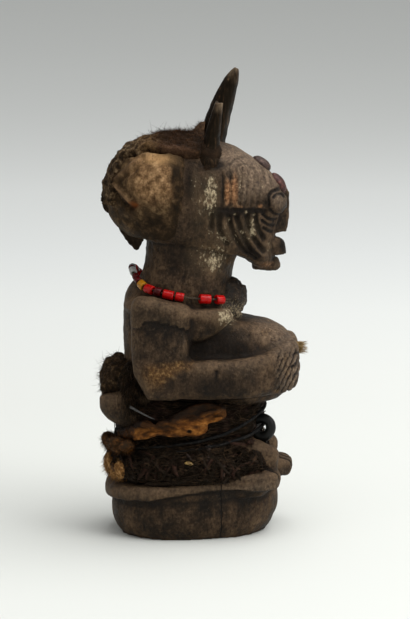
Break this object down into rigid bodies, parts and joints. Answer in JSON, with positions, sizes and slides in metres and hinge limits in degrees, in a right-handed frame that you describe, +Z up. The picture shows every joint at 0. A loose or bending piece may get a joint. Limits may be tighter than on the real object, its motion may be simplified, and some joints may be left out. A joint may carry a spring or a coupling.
{
  "type": "songye power figure",
  "caption": "Carved wooden power figure standing on its own block, hands on its belly, with horns, head hides, tacks, a bead necklace and a girdle of hide, cord, fur and feathers.",
  "frame": {"origin": "on the flat underside of the block, on the figure's middle plane, under the middle of the block", "axes": "+X is the way the figure faces, +Z is up, and -Y is the figure's own right side"},
  "size_m": [0.1309, 0.0864, 0.2881],
  "materials": {
    "carved_wood": "worn, crusted, matt",
    "dark_horn": "satin horn",
    "tan_hide": "dried hide, matt",
    "crown_hide": "hairy hide, matt",
    "dark_hide": "dried hide, matt",
    "upper_tack_metal": "tarnished",
    "lower_tack_metal": "tarnished",
    "dark_resin": "crusted",
    "plant_fibre": "frayed",
    "dark_string": "twisted",
    "red_glass": "opaque gloss",
    "dark_red_glass": "opaque gloss",
    "yellow_glass": "opaque gloss",
    "grey_glass": "opaque gloss",
    "blue_green_glass": "opaque gloss",
    "packed_hide": "packed hide and fibre, matt",
    "orange_hide": "dried hide, matt",
    "black_cord": "twisted",
    "black_ring": "worn gloss",
    "brown_fur": "fur",
    "tan_fur": "fur",
    "dark_feather": "feathers and fibre"
  },
  "bodies": {
    "root": {"carved_figure": "carved_wood", "left_horn": "dark_horn", "right_horn": "dark_horn", "head_hide": "tan_hide", "crown_hide": "crown_hide", "nape_flap": "dark_hide", "upper_tack": "upper_tack_metal", "lower_tack": "lower_tack_metal", "chest_resin": "dark_resin", "navel_plug": "plant_fibre", "necklace_string": "dark_string", "waist_girdle": "packed_hide", "waist_strip": "orange_hide", "lower_girdle_cord": "black_cord", "upper_girdle_cord": "black_cord", "girdle_ring": "black_ring", "back_bundle": "crown_hide", "upper_fur_tuft": "brown_fur", "lower_fur_tuft": "tan_fur", "feather_skirt": "dark_feather", "necklace_bead_01": "red_glass", "necklace_bead_02": "red_glass", "necklace_bead_03": "red_glass", "necklace_bead_04": "red_glass", "necklace_bead_05": "dark_red_glass", "necklace_bead_06": "red_glass", "necklace_bead_07": "yellow_glass", "necklace_bead_08": "dark_red_glass", "necklace_bead_09": "dark_red_glass", "necklace_bead_10": "grey_glass", "necklace_bead_11": "dark_red_glass", "necklace_bead_12": "blue_green_glass", "necklace_bead_13": "red_glass", "necklace_bead_14": "red_glass", "necklace_bead_15": "yellow_glass", "necklace_bead_16": "red_glass", "necklace_bead_17": "grey_glass", "necklace_bead_18": "red_glass", "necklace_bead_19": "red_glass"}
  },
  "joints": []
}
